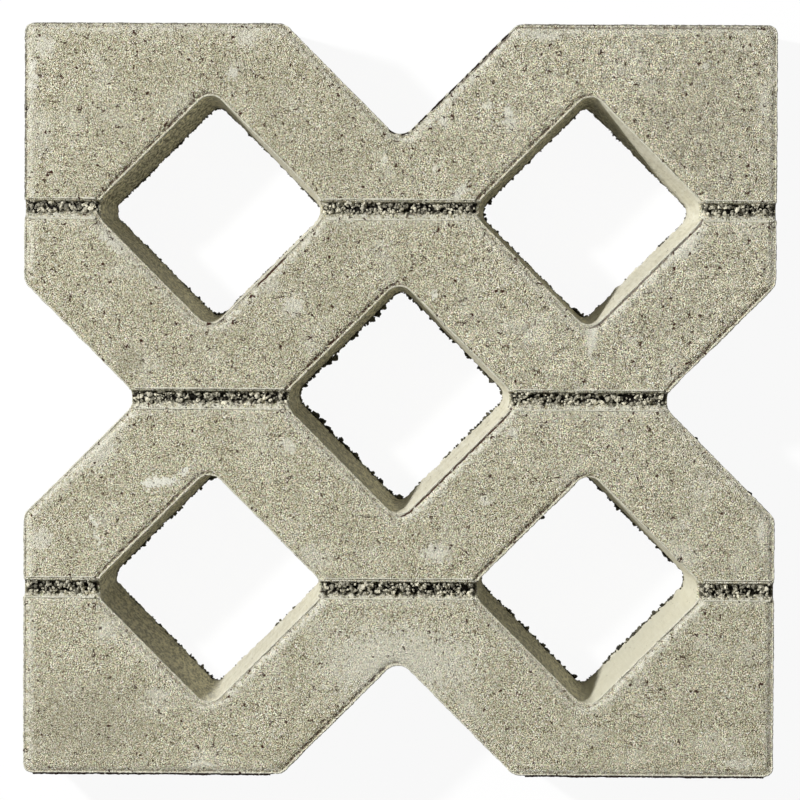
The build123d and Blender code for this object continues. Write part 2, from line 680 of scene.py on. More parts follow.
@dataclass(frozen=True)
class CastConcreteFinish:
    """Sandy earth-moist concrete: grainy on its wearing face and smooth and pale on its walls.

    Attributes:
        sand_tones: places and colours from which each grain of sand takes its own.
        sand_size, grit_size, hue_size: grains of the face, the finer tone over them and its hue.
        patch_size, mottle_size, uneven_size: worn patches, cloudy tone and rougher areas.
        hole_size, tear_size, glint_size: single holes, short tears and bright grains.
        cluster_size, bout_size: areas where holes crowd, and stretches where tears open.
        ragged_size, bloom_size: how coarsely stains are torn, and how wide the pale bloom is.
        streak_size, cloud_size: drawn streaks and soft clouds of the walls.
        pin_size, wall_grit_size: pinholes and grit of the walls.
        the limits: pattern values between which each of these sets in, from none to all.
        the shares: how strongly each of these covers what lies under it.
        the heights: how tall each of these stands in the relief, with the bump's depth as one.
    """

    even_paste: Colour = (0.702, 0.677, 0.490, 1.0)
    pale_paste: Colour = (0.930, 0.915, 0.790, 1.0)
    dense_paste: Colour = (0.300, 0.278, 0.195, 1.0)
    fin_paste: Colour = (0.860, 0.840, 0.700, 1.0)
    low_paste: Colour = (0.620, 0.585, 0.450, 1.0)
    wall_paste: Colour = (0.765, 0.733, 0.590, 1.0)
    high_paste: Colour = (0.860, 0.838, 0.715, 1.0)
    # darker paste painted on walls that face away from the lamp: painted shade
    shaded_sandy_paste: Colour = (0.660, 0.620, 0.440, 1.0)
    dull_paste: Colour = (0.640, 0.615, 0.480, 1.0)
    # painted shade in the gaps between sand grains
    sand_gap_shade: Colour = (0.170, 0.125, 0.080, 1.0)
    glint: Colour = (0.980, 0.975, 0.920, 1.0)
    # painted shade at the walls' feet
    foot_shade_colour: Colour = (0.070, 0.064, 0.036, 1.0)
    # painted shade for cracks, holes, tears and pinholes
    crevice_shade: Colour = (0.066, 0.028, 0.017, 1.0)
    # painted shade along the block's outermost edge
    edge_shade_colour: Colour = (0.018, 0.008, 0.005, 1.0)
    # very dark paint on the channel floors, as painted shade in the voids between stones
    channel_void_shade: Colour = (0.016, 0.014, 0.010, 1.0)
    calm_dip: Colour = (0.160, 0.140, 0.090, 1.0)
    calm_crest: Colour = (1.235, 1.230, 1.220, 1.0)
    harsh_dip: Colour = (0.020, 0.010, 0.010, 1.0)
    harsh_crest: Colour = (1.470, 1.460, 1.480, 1.0)
    sand_tones: tuple[tuple[float, Colour], ...] = (
        (0.00, (0.060, 0.038, 0.022, 1.0)),
        (0.06, (0.180, 0.145, 0.090, 1.0)),
        (0.15, (0.400, 0.362, 0.228, 1.0)),
        (0.36, (0.570, 0.540, 0.368, 1.0)),
        (0.65, (0.722, 0.696, 0.500, 1.0)),
        (0.88, (0.835, 0.815, 0.640, 1.0)),
        (1.00, (0.970, 0.960, 0.860, 1.0)),
    )
    sand_size: float = 0.54 * MM
    grit_size: float = 0.55 * MM
    hue_size: float = 1.6 * MM
    patch_size: float = 8.0 * MM
    mottle_size: float = 5.0 * MM
    uneven_size: float = 20.0 * MM
    hole_size: float = 0.84 * MM
    tear_size: float = 3.4 * MM
    glint_size: float = 0.95 * MM
    cluster_size: float = 13.0 * MM
    bout_size: float = 4.3 * MM
    ragged_size: float = 2.6 * MM
    bloom_size: float = 28.0 * MM
    streak_size: float = 2.2 * MM
    cloud_size: float = 11.0 * MM
    pin_size: float = 1.7 * MM
    wall_grit_size: float = 2.0 * MM
    grit_limits: Limits = (0.31, 0.54)
    gap_limits: Limits = (0.46, 0.80)
    patch_limits: Limits = (0.40, 0.62)
    uneven_limits: Limits = (0.36, 0.62)
    mottle_limits: Limits = (0.30, 0.70)
    hole_limits: Limits = (0.692, 0.716)
    tear_limits: Limits = (0.705, 0.725)
    tear_edge: Limits = (0.045, 0.028)
    glint_limits: Limits = (0.735, 0.765)
    bloom_limits: Limits = (0.56, 0.74)
    smear_limits: Limits = (0.32, 0.64)
    spot_limits: Limits = (1.75, 1.30)
    edge_shade_limits: Limits = (0.70, 0.80)
    crack_limits: Limits = (0.95, 0.45)
    split_limits: Limits = (0.64, 0.28)
    pin_limits: Limits = (0.72, 0.76)
    speck_limits: Limits = (0.64, 0.68)
    shade_patch_limits: Limits = (0.34, 0.56)
    patch_share: float = 0.35
    gap_share: float = 0.60
    lime_share: float = 0.62
    dense_share: float = 0.45
    fin_share: float = 0.80
    glint_share: float = 0.70
    bloom_share: float = 0.50
    smear_share: float = 0.85
    pin_share: float = 0.80
    mottle_depth: float = 0.20
    hue_depth: float = 0.26
    grit_height: float = 1.2
    sand_height: float = -0.8
    hollow_height: float = 1.6
    streak_height: float = 0.35
    bump_depth: float = 0.5 * MM
    roughness: float = 0.92
    specular: float = 0.25

    def build(self) -> bpy.types.Material:
        """Make the material, which reads the zones stored on the casting's points.

        Returns:
            The material.
        """
        sheet = NodeSheet(bpy.data.materials.new("cast_concrete"))
        wall = sheet.attribute("wall")
        colour, height = self.face(sheet)
        wall_colour, wall_height = self.wall(sheet)
        line = self.rim_lines(sheet)
        # painted shade in the cracks along the pressed edges
        colour = sheet.mix(line, sheet.mix(wall, colour, wall_colour), self.crevice_shade)
        # painted shade: the channel floor under the stones is very dark
        colour = sheet.mix(sheet.attribute("channel"), colour, self.channel_void_shade)
        relief = sheet.plus(sheet.times(wall, wall_height), sheet.times(sheet.minus(1.0, wall), height))
        normal = sheet.bump(sheet.minus(relief, line), self.bump_depth)
        return sheet.finish(colour, normal, self.roughness, self.specular)

    def rim_lines(self, sheet: NodeSheet) -> Socket:
        """Share of the painted shade in the cracks and splits along the pressed edges.

        Args:
            sheet: the material's nodes.

        Returns:
            The share, broken along the line.
        """
        broken = sheet.step(sheet.plan_noise(2.4 * MM, 2.0, 0.7), 0.38, 0.60)
        seam = sheet.step(sheet.plan_noise(5.0 * MM, 2.0, 0.7), 0.30, 0.42)
        sway = sheet.line(sheet.plan_noise(3.0 * MM, 2.0), 1.0, -0.5)
        offset = sheet.plus(sheet.attribute("rim_offset"), sway)
        wide = sheet.step(sheet.math("ABSOLUTE", offset), *self.crack_limits)
        thin = sheet.step(sheet.math("ABSOLUTE", sheet.plus(offset, 0.10)), *self.split_limits)
        cracked = sheet.times(sheet.attribute("crack_shade"), sheet.times(wide, broken))
        opened = sheet.times(sheet.attribute("split_shade"), sheet.times(thin, seam))
        return sheet.larger(cracked, opened)

    def face(self, sheet: NodeSheet) -> tuple[Socket, Socket]:
        """Dress the sandy wearing face, where every grain has its own tone.

        Args:
            sheet: the material's nodes.

        Returns:
            Colour and height.
        """
        sand, fine = sheet.plan_cells(self.sand_size), sheet.plan_noise(self.grit_size, 1.0, 0.75)
        own = sheet.add("ShaderNodeSeparateColor", {0: sand.outputs["Color"]}).outputs[0]
        patch = sheet.step(sheet.plan_noise(self.patch_size, 3.0, 0.65), *self.patch_limits)
        tone = sheet.ramp(own, self.sand_tones)
        tone = sheet.mix(sheet.times(patch, self.patch_share), tone, self.even_paste)
        # painted shade in the gaps between sand grains
        gap = sheet.step(sand.outputs["Distance"], *self.gap_limits)
        tone = sheet.mix(sheet.times(gap, self.gap_share), tone, self.sand_gap_shade)
        uneven = sheet.attribute("uneven")
        rough = sheet.step(sheet.plan_noise(self.uneven_size, 2.0), *self.uneven_limits, 0.0, 0.6)
        rough = sheet.line(uneven, 0.7, rough, clamp=True)
        grain = sheet.step(fine, *self.grit_limits)
        calm = sheet.mix(grain, self.calm_dip, self.calm_crest)
        harsh = sheet.mix(grain, self.harsh_dip, self.harsh_crest)
        tone = sheet.shade(tone, sheet.mix(rough, calm, harsh))
        clouds, depth = sheet.plan_noise(self.mottle_size, 4.0, 0.68), self.mottle_depth
        mottle = sheet.step(clouds, *self.mottle_limits, -depth, depth)
        tone = sheet.shade(tone, sheet.line(mottle, sheet.line(uneven, 0.60, 0.40), 1.0))
        tone = sheet.shade(tone, sheet.tint(self.hue_size, self.hue_depth))
        pale, dense = self.stains(sheet)
        hollow = self.hollows(sheet)
        bright = sheet.step(sheet.plan_noise(self.glint_size), *self.glint_limits, 0.0, self.glint_share)
        layers = (
            (sheet.times(pale, self.lime_share, clamp=True), self.pale_paste),
            (sheet.times(dense, self.dense_share), self.dense_paste),
            # pale paste on the fins, with a painted highlight on fins that face the lamp and along the
            # channel crests
            (sheet.times(sheet.attribute("fin_pale_and_lit"), self.fin_share), self.fin_paste),
            (bright, self.glint),
            # holes and tears painted dark: painted shade
            (hollow, self.crevice_shade),
            # painted shade along the outermost edge
            (self.outer_edge_shade(sheet), self.edge_shade_colour),
        )
        for share, colour in layers:
            tone = sheet.mix(share, tone, colour)
        sand_height = sheet.times(sand.outputs["Distance"], self.sand_height)
        height = sheet.plus(sheet.times(fine, self.grit_height), sand_height)
        return tone, sheet.minus(height, sheet.times(hollow, self.hollow_height))

    def hollows(self, sheet: NodeSheet) -> Socket:
        """Scatter small holes and short tears over the wearing face, painted dark as shade in them.

        Args:
            sheet: the material's nodes.

        Returns:
            Their share.
        """
        pitted = sheet.attribute("pitted")
        crowd = sheet.step(sheet.plan_noise(self.cluster_size), 0.35, 0.65, -0.085, -0.018)
        crowd = sheet.line(pitted, 0.028, crowd)
        dots = sheet.step(sheet.plus(sheet.plan_noise(self.hole_size, 2.0, 0.6), crowd), *self.hole_limits)
        band = sheet.math("ABSOLUTE", sheet.minus(sheet.plan_noise(self.tear_size, 2.0), 0.5))
        torn = sheet.line(pitted, 0.035, sheet.plan_noise(self.bout_size))
        tear = sheet.times(sheet.step(band, *self.tear_edge), sheet.step(torn, *self.tear_limits))
        return sheet.larger(dots, tear)

    def outer_edge_shade(self, sheet: NodeSheet) -> Socket:
        """Paint shade along the block's outermost edge, broken where it is thin.

        Args:
            sheet: the material's nodes.

        Returns:
            Its share.
        """
        share = sheet.attribute("outer_edge_shade")
        ragged = sheet.plus(sheet.plan_noise(2.0 * MM), sheet.times(share, 0.5))
        return sheet.times(share, sheet.step(ragged, *self.edge_shade_limits))

    def stains(self, sheet: NodeSheet) -> tuple[Socket, Socket]:
        """Mark the face with lime, with pale smeared paste that also paints light on slopes and bevels facing
        away from the lamp, and with dense paste.

        Args:
            sheet: the material's nodes.

        Returns:
            The share of each.
        """
        ragged = sheet.plan_noise(self.ragged_size, 2.0, 0.7)
        bloom = sheet.plan_noise(self.bloom_size, 2.0, 0.6)
        bloom = sheet.step(bloom, *self.bloom_limits, 0.0, self.bloom_share)
        # pale paste near edges, partly painted light on shaded channel slopes and bevels
        smear_and_painted_light = sheet.times(sheet.attribute("smear_and_painted_light"), self.smear_share)
        share = sheet.times(sheet.larger(bloom, smear_and_painted_light), sheet.step(ragged, *self.smear_limits))
        return sheet.larger(self.spots(sheet, "lime", ragged), share), self.spots(sheet, "dense", ragged)

    def spots(self, sheet: NodeSheet, name: str, ragged: Socket) -> Socket:
        """Share of the marks of one kind, with ragged edges."""
        reach = sheet.line(ragged, 1.8, sheet.minus(2.0, sheet.attribute(name)))
        return sheet.times(sheet.step(reach, *self.spot_limits), sheet.attribute(name + "_share"))

    def wall(self, sheet: NodeSheet) -> tuple[Socket, Socket]:
        """Dress the walls: smooth paste, or a darker gritty paste that paints shade on walls facing away from
        the lamp.

        Args:
            sheet: the material's nodes.

        Returns:
            Colour and height.
        """
        streak = sheet.noise(self.streak_size, 3.0, 0.65, drag=0.09)
        patch = sheet.noise(self.cloud_size, 2.0, 0.6)
        shade = sheet.plus(sheet.times(streak, 0.6), sheet.times(patch, 0.4))
        tone = sheet.ramp(shade, ((0.32, self.low_paste), (0.5, self.wall_paste), (0.68, self.high_paste)))
        pin = sheet.step(sheet.noise(self.pin_size, 1.0, drag=0.4), *self.pin_limits)
        # pinholes painted dark: painted shade
        tone = sheet.mix(sheet.times(pin, self.pin_share), tone, self.crevice_shade)
        sandy_and_shade = sheet.attribute("sandy_and_shade")
        coarse = sheet.noise(self.wall_grit_size, 3.0, 0.75, drag=0.34)
        coarse = sheet.step(coarse, *self.uneven_limits, 0.24, 1.24)
        speck = sheet.noise(self.ragged_size, 2.0, 0.6, drag=0.45)
        speck = sheet.step(speck, *self.speck_limits, 1.0, 0.35)
        # painted bounce light brightens the gritty paste
        coarse = sheet.times(sheet.times(coarse, speck), sheet.plus(1.0, sheet.attribute("painted_bounce")))
        # walls facing away from the lamp take the darker gritty paste: painted shade
        tone = sheet.mix(sandy_and_shade, tone, sheet.shade(self.shaded_sandy_paste, coarse))
        tone = sheet.mix(sheet.attribute("dull"), tone, self.dull_paste)
        # painted shade at the walls' feet, in patches
        shade_patches = sheet.step(sheet.noise(self.ragged_size, 2.0, 0.7, drag=0.5), *self.shade_patch_limits)
        tone = sheet.mix(sheet.times(sheet.attribute("painted_foot_shade"), shade_patches), tone, self.foot_shade_colour)
        height = sheet.plus(sheet.times(streak, self.streak_height), sheet.times(sandy_and_shade, coarse))
        return tone, sheet.minus(height, pin)


@dataclass(frozen=True)
class StoneFinish:
    """Bare grain, each stone with its own tone, dusted with cement."""

    name: str
    dark: Colour
    pale: Colour
    dust_size: float = 0.8 * MM
    bump_depth: float = 0.3 * MM
    roughness: float = 0.9
    specular: float = 0.2

    def build(self) -> bpy.types.Material:
        """Make the material, which reads each stone's own tone from the mesh.

        Returns:
            The material.
        """
        sheet = NodeSheet(bpy.data.materials.new(self.name))
        dust = sheet.noise(self.dust_size, 2.0, 0.6)
        share = sheet.times(sheet.attribute("tone"), sheet.step(dust, 0.25, 0.65, 0.45, 1.25), clamp=True)
        colour = sheet.mix(share, self.dark, self.pale)
        return sheet.finish(colour, sheet.bump(dust, self.bump_depth), self.roughness, self.specular)


class Survey:
    """What is measured at each point of the casting, as one array for each measure.

    Attributes:
        points, x, y, z: positions.
        tilt: Z of the normals.
        down: depth below the wearing face.
        inward: plan distance from the nearest wall into the concrete.
        across: Y from the nearest channel's centre line.
        spread: plan distance from the centre, along the larger of X and Y.
        sunward, backward: how the concrete lies behind the nearest wall.
        leftward, frontward: the same for the opposite ways, and 0 for these.
        near_top, in_channel, bare: shares of the face, the channels and their open grain.
    """

    def __init__(self, plan: PaverPlan, mesh: bpy.types.Mesh) -> None:
        """Measure every point of a mesh.

        Args:
            plan: sizes of the casting.
            mesh: the casting's mesh.
        """
        self.points = vertex_array(mesh)
        self.x, self.y, self.z = self.points.T
        self.tilt = vector_rows(mesh.vertex_normals, "vector")[:, 2]
        self.down = plan.top - self.z
        self.inward = plan.wall_distance(self.points)
        self.across = plan.channel_offset(self.points)
        self.spread = np.maximum(np.abs(self.x), np.abs(self.y))
        self.sunward, self.backward = plan.facing(self.points)
        self.leftward, self.frontward = np.maximum(-self.sunward, 0), np.maximum(-self.backward, 0)
        self.near_top = smoothstep(2.4 * MM, 1.6 * MM, self.down)
        edge, soft = plan.channel_width / 2, 0.8 * MM
        self.in_channel = smoothstep(edge, edge - soft, np.abs(self.across))
        front, back = plan.stone_band(self.points)
        self.bare = smoothstep(0.0, soft, self.across - front) * smoothstep(0.0, soft, back - self.across)


@dataclass
class PaverCasting:
    """The concrete block itself: the construction model's form with the roughness of the real casting."""

    plan: PaverPlan
    voxel: float = 1.0 * MM
    triangles: int = 196_000
    obj: bpy.types.Object = field(init=False)

    def copy_node(self, node: bpy.types.Object) -> bpy.types.Object:
        """Copy the construction model's mesh and merge its triangles.

        Args:
            node: the model's mesh object.

        Returns:
            The merged copy.
        """
        copy = link_new("paver_casting", node.data.copy())
        copy.data.materials.clear()
        only(copy)
        bpy.ops.object.mode_set(mode="EDIT")
        bpy.ops.mesh.select_all(action="SELECT")
        bpy.ops.mesh.remove_doubles(threshold=0.001 * MM)
        bpy.ops.object.mode_set(mode="OBJECT")
        return copy

    def build(self, node: bpy.types.Object) -> bpy.types.Object:
        """Mesh the casting, roughen it zone by zone and thin it out.

        Args:
            node: the construction model's own mesh object.

        Returns:
            The finished casting.
        """
        self.obj = self.copy_node(node)
        grid = self.obj.modifiers.new("fine_mesh", "REMESH")
        grid.mode, grid.voxel_size = "VOXEL", self.voxel
        apply_modifier(self.obj, grid)
        self.smear_channels()
        self.mark_zones()
        self.roughen()
        self.level_underside()
        thin = self.obj.modifiers.new("thin", "DECIMATE")
        thin.ratio = self.triangles / (2 * len(self.obj.data.polygons))
        apply_modifier(self.obj, thin)
        self.obj.vertex_groups.clear()
        self.store_fields()
        smooth(self.obj)
        return self.obj

    def smear_channels(self) -> None:
        """Round off the channels' upper corners with the paste that the core bars smeared there."""
        plan, points = self.plan, vertex_array(self.obj.data)
        high = points[:, 2] > plan.top - plan.channel_depth - 2.0 * MM
        inside = high & (plan.wall_distance(points) > 0.3 * MM)
        points[:, 2] = np.where(inside, np.maximum(points[:, 2], plan.lips(points)), points[:, 2])
        move_points(self.obj.data, points)

    def zones(self, at: Survey) -> Fields:
        """How strongly each point belongs to each zone that a relief is pressed into.

        Args:
            at: measures of the points.

        Returns:
            Shares from 0 to 1, by the zone's name.
        """
        steep, low = np.abs(at.tilt), smoothstep(5.0 * MM, 1.0 * MM, at.z)
        deep = smoothstep(3.6 * MM, 5.4 * MM, at.down) * smoothstep(13.0 * MM, 11.0 * MM, at.down)
        channel_side = at.in_channel * smoothstep(11.0 * MM, 8.0 * MM, at.down)
        return {
            "face": smoothstep(0.45, 0.8, at.tilt) * at.near_top * smoothstep(2.5 * MM, 5.0 * MM, at.inward),
            "edge": at.near_top * smoothstep(5.0 * MM, 2.5 * MM, at.inward),
            "wall": smoothstep(0.7, 0.35, steep) * (1.0 - channel_side),
            "channel": at.in_channel * deep * at.bare * smoothstep(-0.2 * MM, 1.6 * MM, at.inward),
            "rim": low * smoothstep(0.7, 0.2, steep),
        }

    def rim_fields(self, at: Survey) -> Fields:
        """How far each point is from the line where the rim cracks, and how much painted shade darkens that
        line: cracks most on edges that face away from the lamp, splits on edges that face it.

        Args:
            at: measures of the points.

        Returns:
            One array for each field.
        """
        in_middle = at.spread < 75.0 * MM
        back_right = np.minimum(at.x, at.y) > 30.0 * MM
        on_right = at.x > self.plan.half - 4.0 * MM
        splitting = np.where(in_middle, 1.0, np.where(back_right, 0.75, 0.3))
        cracking = np.where(on_right, 0.17 - 0.17 * np.sign(at.y), np.where(in_middle, 0.9, 0.75))
        line = 1.62 * MM - 0.2 * MM * at.sunward - 0.6 * MM * at.backward
        return {
            "rim_offset": np.clip((at.inward - line) / MM, -3.0, 3.0),
            # painted shade in the cracks, strongest where the edge faces away from the lamp
            "crack_shade": at.near_top * (0.10 + cracking * at.leftward**2 + 0.22 * at.frontward**2),
            "split_shade": at.near_top * splitting * smoothstep(0.3, 0.9, at.sunward),
        }

    def wall_fields(self, at: Survey) -> Fields:
        """How much darker, grittier paste paints shade on the walls, how much painted bounce light brightens
        it, how much painted shade darkens their lower parts, and how much darker the lamp-facing walls of the
        front right cells are.

        Args:
            at: measures of the points.

        Returns:
            One array for each field.
        """
        grid = self.plan.grid
        # walls facing away from the lamp get the darker gritty paste: painted shade
        shaded = np.maximum(-at.sunward, 0.6 * at.frontward)
        outer = at.spread > self.plan.half - 1.5 * MM
        # painted shadow with a slanted edge on the lower part of the back right cell's wall that faces the
        # left front
        foot = smoothstep(60.0 * MM, 30.0 * MM, at.z + 0.9 * (at.x - grid - 8.0 * MM))
        foot = foot * np.maximum(at.backward, 0) * (np.minimum(at.x, at.y) > grid / 2)
        # painted bounce light: shaded walls lighter near the top, walls facing the right back lighter low
        # down
        bounce_top = 0.45 * at.leftward * smoothstep(45.0 * MM, 79.0 * MM, at.z)
        bounce_foot = 0.25 * at.frontward * smoothstep(60.0 * MM, 10.0 * MM, at.z)
        # painted shade at the walls' feet, most on walls facing away from the lamp
        shade_foot = 0.6 * smoothstep(10.0 * MM, 1.0 * MM, at.z) * at.leftward + 0.55 * foot
        shade_rim = smoothstep(5.5 * MM, 2.5 * MM, at.z) * (1.0 - np.maximum(at.sunward, -0.6 * at.backward))
        front_right = np.minimum(at.x, -at.y) > grid / 2
        return {
            "sandy_and_shade": np.where(outer, 0.5, np.clip(0.06 + 0.95 * shaded + 0.6 * foot, 0.0, 1.0)),
            "painted_bounce": np.maximum(bounce_top, bounce_foot),
            "painted_foot_shade": np.maximum(shade_foot, shade_rim),
            "dull": 0.70 * np.clip(at.sunward, 0.0, 1.0) * front_right,
        }

    def face_fields(self, at: Survey) -> Fields:
        """How pitted and uneven the wearing face is, how much pale paste and painted light lie on it, and how
        much painted shade darkens its outermost edge.

        Args:
            at: measures of the points.

        Returns:
            One array for each field.
        """
        edge, border = self.plan.channel_width / 2, self.plan.half - at.spread
        pitted = smoothstep(-120.0 * MM, 60.0 * MM, at.y)
        beyond = 1.35 * smoothstep(7.5 * MM, 3.0 * MM, at.inward) * np.maximum(at.sunward, 0.6 * at.frontward)
        below = smoothstep(-edge - 5 * MM, -edge - 1 * MM, at.across) * (at.across < -edge)
        in_channel = at.in_channel * (1.0 - at.bare) * smoothstep(9.0 * MM, 7.5 * MM, at.down)
        rim_band = smoothstep(0.9 * MM, 1.3 * MM, border) * smoothstep(3.4 * MM, 2.4 * MM, border)
        rim_band = at.near_top * rim_band * (0.7 + 0.3 * (at.x > self.plan.half - 4.0 * MM))
        # pale paste near edges and on the channel slopes; on shaded upper slopes and the outer bevel it is
        # painted light
        pale_and_lit = (at.near_top * beyond, 0.6 * at.near_top * below, 1.4 * in_channel, rim_band)
        return {
            "pitted": pitted,
            "uneven": pitted * smoothstep(-20.0 * MM, 120.0 * MM, at.x),
            "smear_and_painted_light": np.maximum.reduce(pale_and_lit),
            "outer_edge_shade": self.plan.outer_edge_shade(at.points),
        }

    def mark_fields(self, at: Survey) -> Fields:
        """How near each point is to a mark of each kind, and how strong that mark is.

        Args:
            at: measures of the points.

        Returns:
            Two arrays for each kind of mark.
        """
        fields = {}
        for name, marks in MARKS.items():
            reaches = np.array([mark.reach(at.points) for mark in marks])
            fields[name] = np.clip(2.0 - reaches.min(axis=0), 0.0, 2.0)
            fields[name + "_share"] = np.array([mark.strength for mark in marks])[reaches.argmin(axis=0)]
        return fields

    def mark_zones(self) -> None:
        """Give each zone a vertex group for the reliefs."""
        for name, weights in self.zones(Survey(self.plan, self.obj.data)).items():
            group = self.obj.vertex_groups.new(name=name)
            for level in np.linspace(0.1, 1.0, 10):
                chosen = np.nonzero(np.abs(weights - level) < 0.05)[0]
                group.add(chosen.tolist(), float(level), "REPLACE")

    def store_fields(self) -> None:
        """Store what the material reads on the points."""
        at = Survey(self.plan, self.obj.data)
        zones = self.zones(at)
        fields = {name: zones[name] for name in ("wall", "channel")}
        fields |= self.rim_fields(at) | self.wall_fields(at) | self.face_fields(at) | self.mark_fields(at)
        for name, values in fields.items():
            store(self.obj.data, name, values)

    def roughen(self) -> None:
        """Press every relief into its zone."""
        pitted = ((0.0, 0.0), (0.24, 0.0), (0.32, 1.0), (1.0, 1.0))
        cloudy = Basis.CLOUDY
        reliefs = {
            "face_waves": Relief(cloudy, 24.0 * MM, 0.5 * MM, "face", octaves=1),
            "face_grain": Relief(cloudy, 2.0 * MM, 0.14 * MM, "face", octaves=1),
            "face_pits": Relief(cloudy, 2.0 * MM, 0.35 * MM, "face", mid=1.0, steps=pitted),
            "edge_wear": Relief(cloudy, 3.0 * MM, 0.7 * MM, "edge", octaves=1, jumble=True),
            "wall_waves": Relief(cloudy, 18.0 * MM, 0.4 * MM, "wall", octaves=1),
            "floor_grain": Relief(Basis.CELLS, 2.6 * MM, 4.0 * MM, "channel", mid=0.9),
            "rim_crumble": Relief(cloudy, 2.6 * MM, 2.2 * MM, "rim", mid=0.45, octaves=1),
        }
        for name, relief in reliefs.items():
            relief.press(self.obj, name)

    def level_underside(self) -> None:
        """Keep every point above the floor that the casting lies on."""
        points = vertex_array(self.obj.data)
        points[:, 2] = np.maximum(points[:, 2], 0.0)
        move_points(self.obj.data, points)


@dataclass
class StoneHeap:
    """Many small stones joined in one mesh, copied from a few shaped ones."""

    name: str
    finish: StoneFinish
    seed: int
    shapes: int = 7
    widths: Limits = (0.65, 0.95)
    heights: Limits = (0.50, 0.85)

    def pattern(self, index: int) -> tuple[np.ndarray, np.ndarray]:
        """Shape one angular stone, about one unit across.

        Args:
            index: number of the shape.

        Returns:
            Its points and its triangles.
        """
        bpy.ops.object.select_all(action="DESELECT")
        bpy.ops.mesh.primitive_ico_sphere_add(subdivisions=2, radius=0.5)
        stone = bpy.context.object
        bpy.ops.object.mode_set(mode="EDIT")
        bpy.ops.mesh.select_all(action="SELECT")
        bpy.ops.transform.vertex_random(offset=0.13, uniform=0.6, normal=0.5, seed=self.seed + index)
        bpy.ops.object.mode_set(mode="OBJECT")
        points = vertex_array(stone.data)
        faces = np.array([list(p.vertices) for p in stone.data.polygons])
        bpy.data.objects.remove(stone)
        return points, faces

    def build(self, places: np.ndarray, sizes: np.ndarray) -> bpy.types.Object:
        """Join one stone at each place.

        Args:
            places: rows of centres.
            sizes: length of each stone.

        Returns:
            The heap as one object.
        """
        rng = np.random.default_rng(self.seed)
        patterns = [self.pattern(i) for i in range(self.shapes)]
        all_points, all_faces, tones, start = [], [], [], 0
        for place, size in zip(places, sizes):
            points, faces = patterns[rng.integers(self.shapes)]
            turn, _ = np.linalg.qr(rng.normal(size=(3, 3)))
            if np.linalg.det(turn) < 0:
                turn[:, 0] *= -1
            stretch = np.array([1.0, rng.uniform(*self.widths), rng.uniform(*self.heights)])
            all_points.append(((points * stretch) @ turn.T) * size + place)
            all_faces.append(faces + start)
            tones.append(np.full(len(points), rng.uniform(0.0, 1.0)))
            start += len(points)
        mesh = bpy.data.meshes.new(self.name)
        mesh.from_pydata(np.concatenate(all_points).tolist(), [], np.concatenate(all_faces).tolist())
        store(mesh, "tone", np.concatenate(tones))
        mesh.materials.append(self.finish.build())
        return link_new(self.name, mesh)


@dataclass
class ChannelAggregate:
    """The open grain that was never tamped, on the floor of every channel.

    Attributes:
        per_area: stones for each square metre.
        filled: share of a channel's width that is filled.
        void: length at a stretch's last end that most stones leave empty.
        shunning: share of the stones that leave it empty.
        largest_stray: size limit of the stones that lie on the smeared paste.
        lifts: how far a stone may lie below or above the channel's floor.
        climb, front_climb: how high the grain is heaped on the back wall, and in the front channel.
        front_lift: how much higher all of it lies in the front channel.
    """

    plan: PaverPlan
    finish: StoneFinish
    per_area: float = 0.72e6
    smallest: float = 0.9 * MM
    largest: float = 4.2 * MM
    largest_stray: float = 1.6 * MM
    filled: float = 0.65
    void: float = 2.5 * MM
    shunning: float = 0.7
    lifts: Limits = (-0.8 * MM, 2.2 * MM)
    climb: float = 0.8 * MM
    front_climb: float = 3.4 * MM
    front_lift: float = 0.7 * MM
    seed: int = 11

    def build(self) -> bpy.types.Object:
        """Fill every stretch of channel with stones.

        Returns:
            All stones as one object.
        """
        rng = np.random.default_rng(self.seed)
        stretches = [self.fill(first, last, y, rng) for first, last, y in self.plan.channel_stretches()]
        places, sizes = (np.concatenate(parts) for parts in zip(*stretches))
        return StoneHeap("channel_aggregate", self.finish, self.seed).build(places, sizes)

    def fill(
        self, first: float, last: float, y: float, rng: np.random.Generator
    ) -> tuple[np.ndarray, np.ndarray]:
        """Fill one stretch with stones of mixed sizes, higher against its walls.

        Args:
            first: x where the stretch starts.
            last: x where it ends.
            y: its centre line.
            rng: source of the scatter.

        Returns:
            Rows of centres, and the size of each stone.
        """
        plan, in_front = self.plan, y < -self.plan.grid / 2
        count = int((last - first) * self.filled * plan.channel_width * self.per_area)
        along = rng.uniform(first + 1.0 * MM, last - 1.5 * MM, count)
        along = np.where(rng.random(count) < self.shunning, np.minimum(along, last - self.void), along)
        front, back = plan.stone_band(np.column_stack([along, np.full(count, y)]))
        across = rng.uniform(front, back)
        share, spread = (0.16, 1.0 * MM) if y > plan.grid / 2 else (0.28, 1.6 * MM)
        stray = rng.random(count) < share
        across = np.where(stray, front + 0.6 * MM - rng.exponential(spread, count), across)
        across = np.maximum(across, -0.44 * plan.channel_width)
        size = self.smallest + (self.largest - self.smallest) * rng.beta(1.0, 3.6, count)
        size = np.where(stray, np.minimum(size * 0.6, self.largest_stray), size)
        slope = 2 * plan.channel_depth / (plan.channel_width - plan.channel_floor)
        bank = np.maximum(np.abs(across) - plan.channel_floor / 2, 0.0) * slope
        bank += (self.front_climb if in_front else self.climb) * smoothstep(back - 5.0 * MM, back, across)
        lift = bank * 0.85 + rng.uniform(*self.lifts, count) - size * 0.15
        lift += self.front_lift if in_front else 0.0
        level = plan.top - plan.channel_depth + lift
        lips = plan.lips(np.column_stack([along, across + y]))
        level = np.where(stray & (lips > 0.0), lips + 0.15 * size, level)
        return np.column_stack([along, across + y, level]), size


